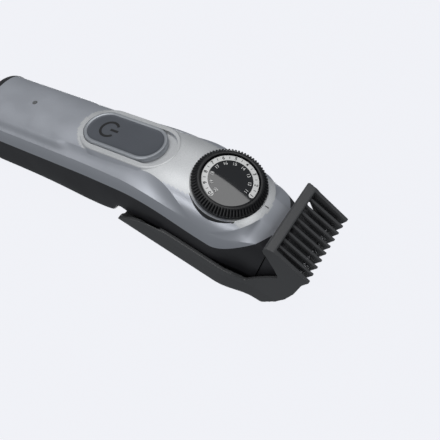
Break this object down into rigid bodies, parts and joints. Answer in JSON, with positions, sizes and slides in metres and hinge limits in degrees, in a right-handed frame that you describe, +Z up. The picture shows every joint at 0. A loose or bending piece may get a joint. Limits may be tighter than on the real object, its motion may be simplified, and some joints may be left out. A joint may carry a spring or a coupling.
{
  "type": "beard trimmer",
  "caption": "Cordless beard trimmer with a knurled length dial that drives a sliding guide comb, a slide power switch and a T-shaped cutter behind the comb.",
  "frame": {"origin": "middle of the length and width, on the surface that the trimmer lies on with its dial up", "axes": "+X towards the comb, +Z up out of the dial side, Y across"},
  "size_m": [0.1713, 0.0414, 0.0513],
  "materials": {
    "silver_shell": "satin metallic lacquer",
    "dark_housing": "fine matte texture",
    "comb_plastic": "satin",
    "black_gloss": "glossy",
    "black_ring": "knurled",
    "scale_white": "printed",
    "button_grey": "soft satin",
    "inner_white": "natural acetal",
    "seal_rubber": "soft",
    "steel": "ground",
    "motor_steel": "plated",
    "winding": "enamelled copper windings",
    "cell_jacket": "shrink-wrapped",
    "board_green": "solder mask",
    "chip_black": "moulded",
    "light_clear": "frosted light guide"
  },
  "bodies": {
    "body": {"front_shell": "silver_shell", "rear_housing": "dark_housing", "end_cap": "dark_housing", "charging_socket": "black_gloss", "socket_pins": "motor_steel", "neck_gasket": "seal_rubber", "dial_washer": "seal_rubber", "dial_bearing": "inner_white", "circuit_board": "board_green", "board_parts": "chip_black", "status_light": "light_clear", "battery_cell": "cell_jacket", "battery_tabs": "steel", "motor_chassis": "dark_housing", "motor_can": "motor_steel", "motor_magnets": "chip_black", "motor_end_bell": "inner_white", "blade_holder": "dark_housing", "fixed_blade": "steel", "blade_spring": "steel", "blade_screws": "steel", "case_screws": "steel"},
    "dial": {"dial_ring": "black_ring", "dial_disc": "black_gloss", "dial_scale": "scale_white", "dial_shaft": "steel", "drive_pinion": "inner_white", "dial_clip": "steel"},
    "carriage": {"comb_carriage": "inner_white"},
    "comb": {"guide_comb": "comb_plastic"},
    "switch": {"power_button": "button_grey", "switch_slider": "black_ring"},
    "rotor": {"armature": "winding", "motor_shaft": "steel", "eccentric_hub": "inner_white"},
    "cutter": {"moving_blade": "steel", "cutter_bridge": "inner_white"}
  },
  "joints": [
    {"name": "dial_turn", "type": "hinge", "parent": "body", "child": "dial", "pos_m": [0.0422, 0, 0.0458], "axis": [-0.2028, 0, -0.9792], "range_deg": [0, 270]},
    {"name": "carriage_slide", "type": "slide", "parent": "body", "child": "carriage", "axis": [0.9792, 0, -0.2028], "range_m": [0, 0.00942]},
    {"name": "comb_pull", "type": "slide", "parent": "carriage", "child": "comb", "axis": [0.9792, 0, -0.2028], "range_m": [0, 0.06]},
    {"name": "power_switch_slide", "type": "slide", "parent": "body", "child": "switch", "axis": [0.9874, 0, 0.1583], "range_m": [0, 0.004]},
    {"name": "motor_spin", "type": "hinge", "parent": "body", "child": "rotor", "pos_m": [0.0377, 0, 0.02406], "axis": [0.9792, 0, -0.2028], "continuous": true},
    {"name": "cutter_slide", "type": "slide", "parent": "body", "child": "cutter", "axis": [0, 1, 0], "range_m": [-0.001, 0.001]}
  ],
  "couplings": [
    {"joint": "dial_turn", "follows": "carriage_slide", "rad_per_m": 500}
  ]
}
